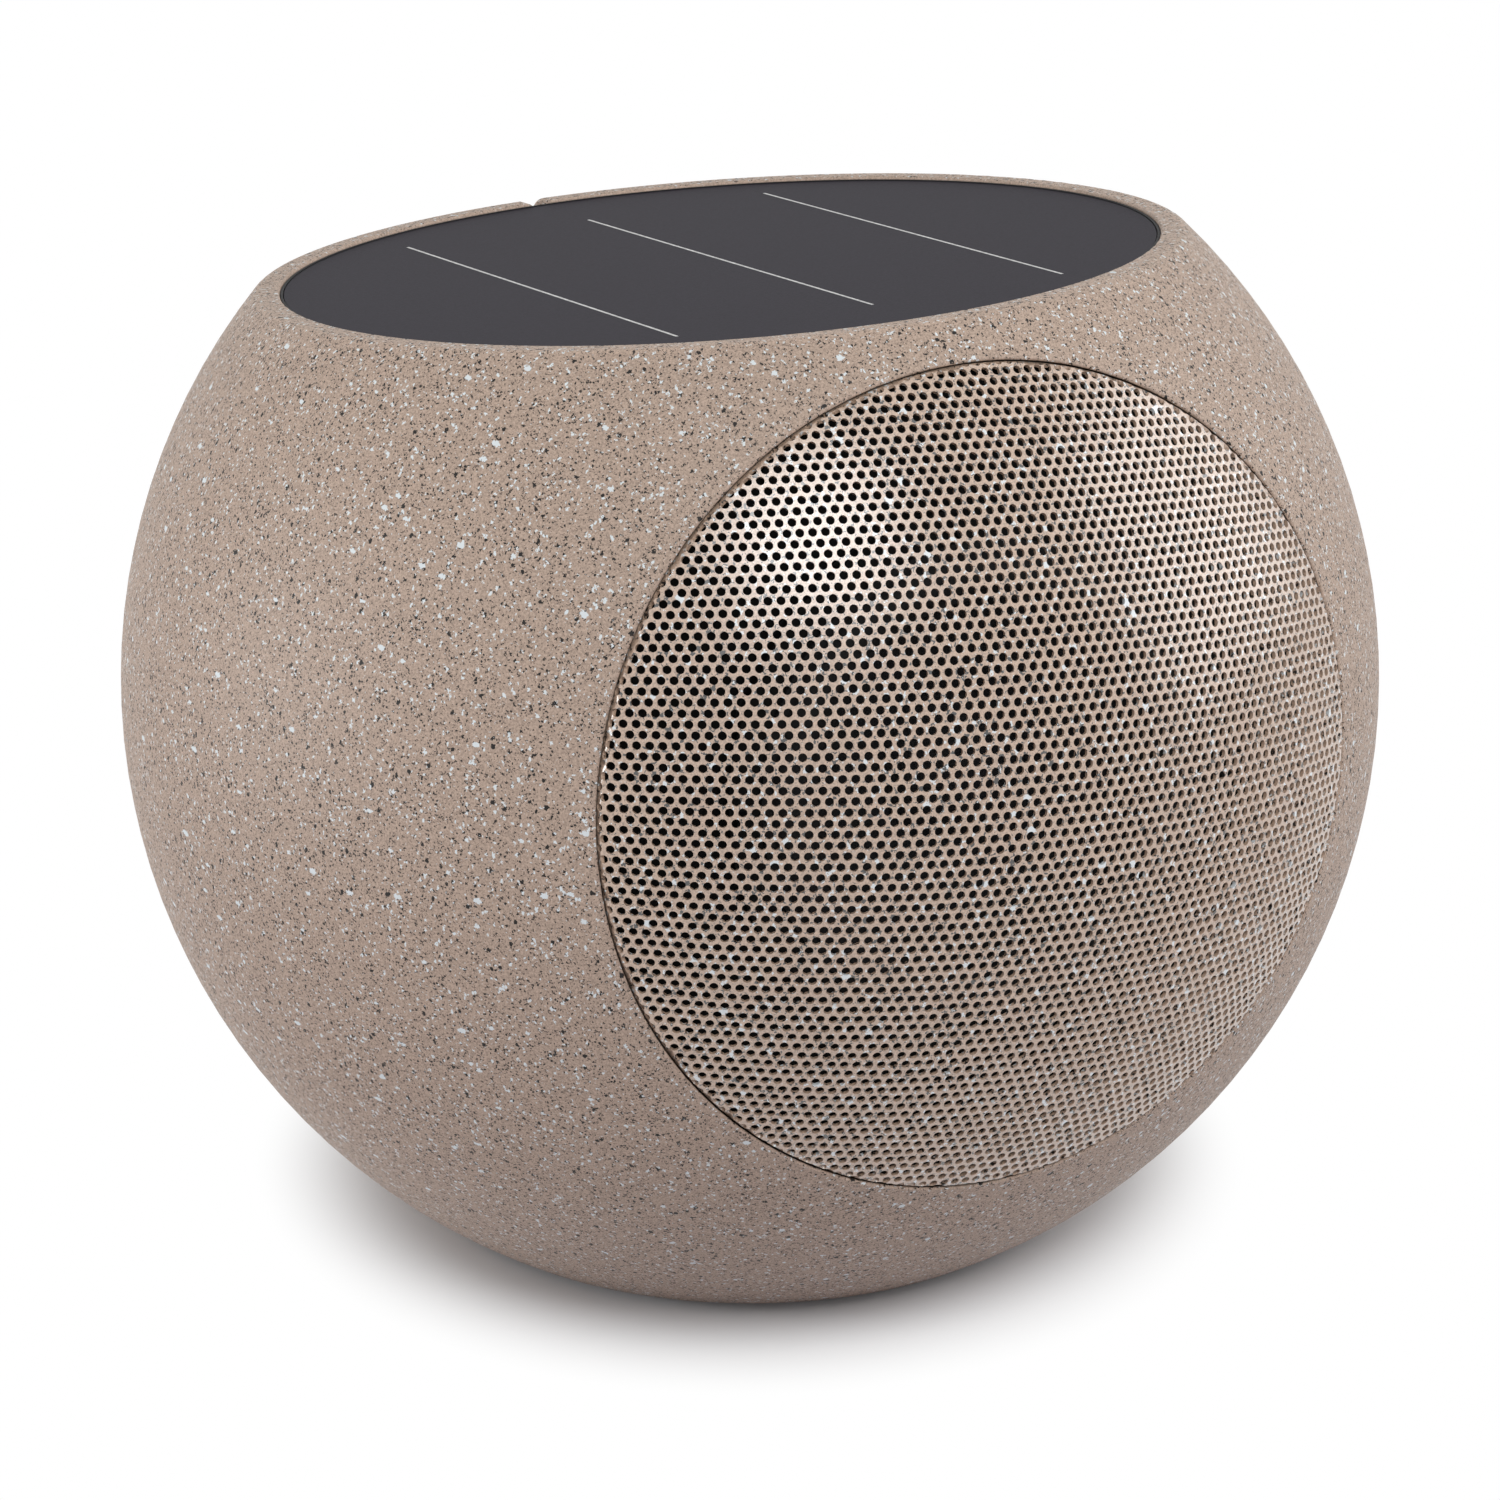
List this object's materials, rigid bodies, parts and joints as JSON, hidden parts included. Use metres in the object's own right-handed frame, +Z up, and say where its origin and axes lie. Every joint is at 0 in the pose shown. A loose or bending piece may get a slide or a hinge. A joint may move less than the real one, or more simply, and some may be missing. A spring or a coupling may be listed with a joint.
{
  "type": "garden speaker",
  "caption": "Ball-shaped outdoor speaker with a stone-look shell, a round solar panel let into its top, a domed perforated front grille and a flat underside with recessed controls.",
  "frame": {"origin": "middle of the foot ring's underside, below the ball's centre", "axes": "+Z up, the grille faces -Y, +X to the right of someone facing the grille"},
  "size_m": [0.267, 0.267, 0.2188],
  "materials": {
    "sandstone_plastic": "speckled moulded stone look",
    "sandstone_paint": "speckled satin paint",
    "panel_laminate": "dark matte laminate",
    "ribbon_metal": "tinned ribbon",
    "black_rubber": "matte",
    "black_plastic": "fine moulded texture",
    "base_plastic": "fine moulded texture",
    "black_steel": "black coated",
    "plated_steel": "zinc plated",
    "ferrite": "sintered",
    "cone_paper": "coated black paper",
    "spider_cloth": "resin-stiffened cloth",
    "coil_copper": "enamelled wire",
    "circuit_board": "solder mask",
    "cell_wrap": "shrink sleeve",
    "white_nylon": "moulded nylon",
    "clear_light": "clear light pipe",
    "button_plastic": "satin"
  },
  "bodies": {
    "housing": {"housing_shell": "sandstone_plastic", "solar_panel": "panel_laminate", "panel_ribbons": "ribbon_metal", "panel_seal": "black_rubber", "panel_junction_box": "black_plastic", "grille": "sandstone_paint", "front_baffle": "black_plastic", "baffle_screws": "black_steel", "driver_gasket": "black_rubber", "driver_basket": "black_steel", "driver_screws": "black_steel", "magnet_front_plate": "plated_steel", "ring_magnet": "ferrite", "magnet_pole": "plated_steel", "driver_surround": "black_rubber", "driver_spider": "spider_cloth", "base_plate": "base_plastic", "base_seal": "black_rubber", "base_screws": "plated_steel", "foot_ring": "black_rubber", "button_switches": "black_plastic", "control_board": "circuit_board", "control_screws": "plated_steel", "status_light": "clear_light", "charging_socket": "plated_steel", "battery_tray": "black_plastic", "battery_cells": "cell_wrap", "amplifier_board": "circuit_board", "stack_screws": "plated_steel", "radio_module": "plated_steel", "filter_coils": "ferrite", "filter_capacitors": "black_plastic", "lead_sockets": "white_nylon"},
    "cone": {"driver_cone": "cone_paper", "dust_cap": "cone_paper", "voice_coil": "coil_copper"},
    "power_button": {"power_button": "button_plastic"},
    "pairing_button": {"pairing_button": "button_plastic"},
    "port_bung": {"port_bung": "black_rubber"}
  },
  "joints": [
    {"name": "cone_travel", "type": "slide", "parent": "housing", "child": "cone", "axis": [0, -0.9877, 0.1564], "range_m": [-0.0025, 0.0025], "stiffness_N_per_m": 1500, "deforming": ["driver_surround", "driver_spider"]},
    {"name": "power_press", "type": "slide", "parent": "housing", "child": "power_button", "axis": [0, 0, 1], "range_m": [0, 0.001], "stiffness_N_per_m": 1500, "springref_m": -0.0005},
    {"name": "pairing_press", "type": "slide", "parent": "housing", "child": "pairing_button", "axis": [0, 0, 1], "range_m": [0, 0.001], "stiffness_N_per_m": 1500, "springref_m": -0.0005},
    {"name": "bung_pull", "type": "slide", "parent": "housing", "child": "port_bung", "axis": [0, 0, -1], "range_m": [0, 0.006]}
  ]
}
